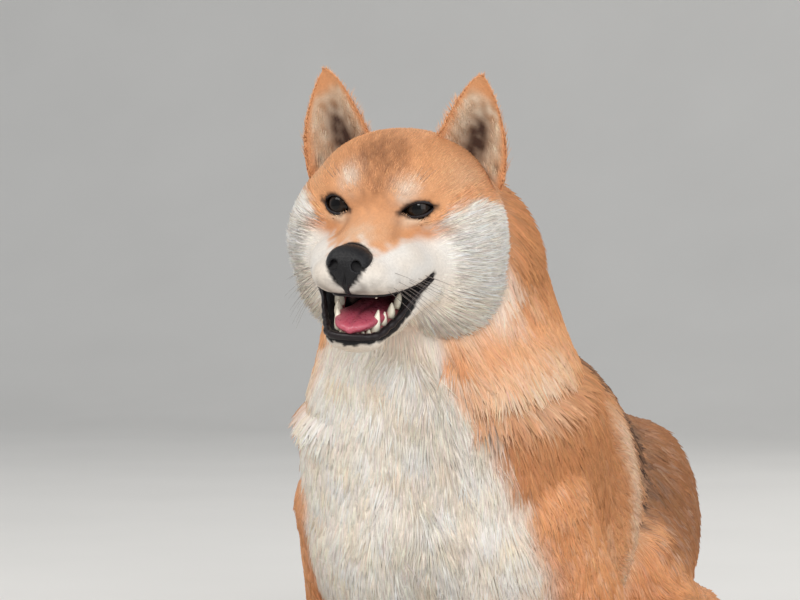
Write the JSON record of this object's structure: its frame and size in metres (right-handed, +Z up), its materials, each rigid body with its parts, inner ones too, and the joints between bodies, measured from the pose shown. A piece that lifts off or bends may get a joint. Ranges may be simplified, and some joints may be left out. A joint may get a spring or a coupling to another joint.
{
  "type": "shiba inu dog",
  "caption": "Life-size still model of a medium spitz dog lying down with raised head, open mouth, pricked ears and curled tail.",
  "frame": {"origin": "on the floor under the middle of the belly, at the flat the torso rests on", "axes": "+Z up, the dog faces -Y, +X is the dog's left side"},
  "size_m": [0.2619, 0.5836, 0.425],
  "materials": {
    "coat_red": "dense short fur, red sesame over a cream undercoat",
    "coat_cream": "dense soft cream fur",
    "nose_leather": "black pebbled moist skin",
    "tongue": "wet pink skin",
    "teeth": "glossy ivory enamel",
    "eye": "clear wet cornea over a dark brown iris"
  },
  "bodies": {
    "root": {"torso": "coat_red", "neck": "coat_cream", "head": "coat_red", "lower_jaw": "coat_cream", "nose": "nose_leather", "tongue": "tongue", "teeth_upper": "teeth", "teeth_lower": "teeth", "ear_left": "coat_red", "ear_right": "coat_red", "eye_left": "eye", "eye_right": "eye", "foreleg_left": "coat_red", "foreleg_right": "coat_red", "hindleg_left": "coat_red", "hindleg_right": "coat_red", "tail": "coat_red"}
  },
  "joints": []
}
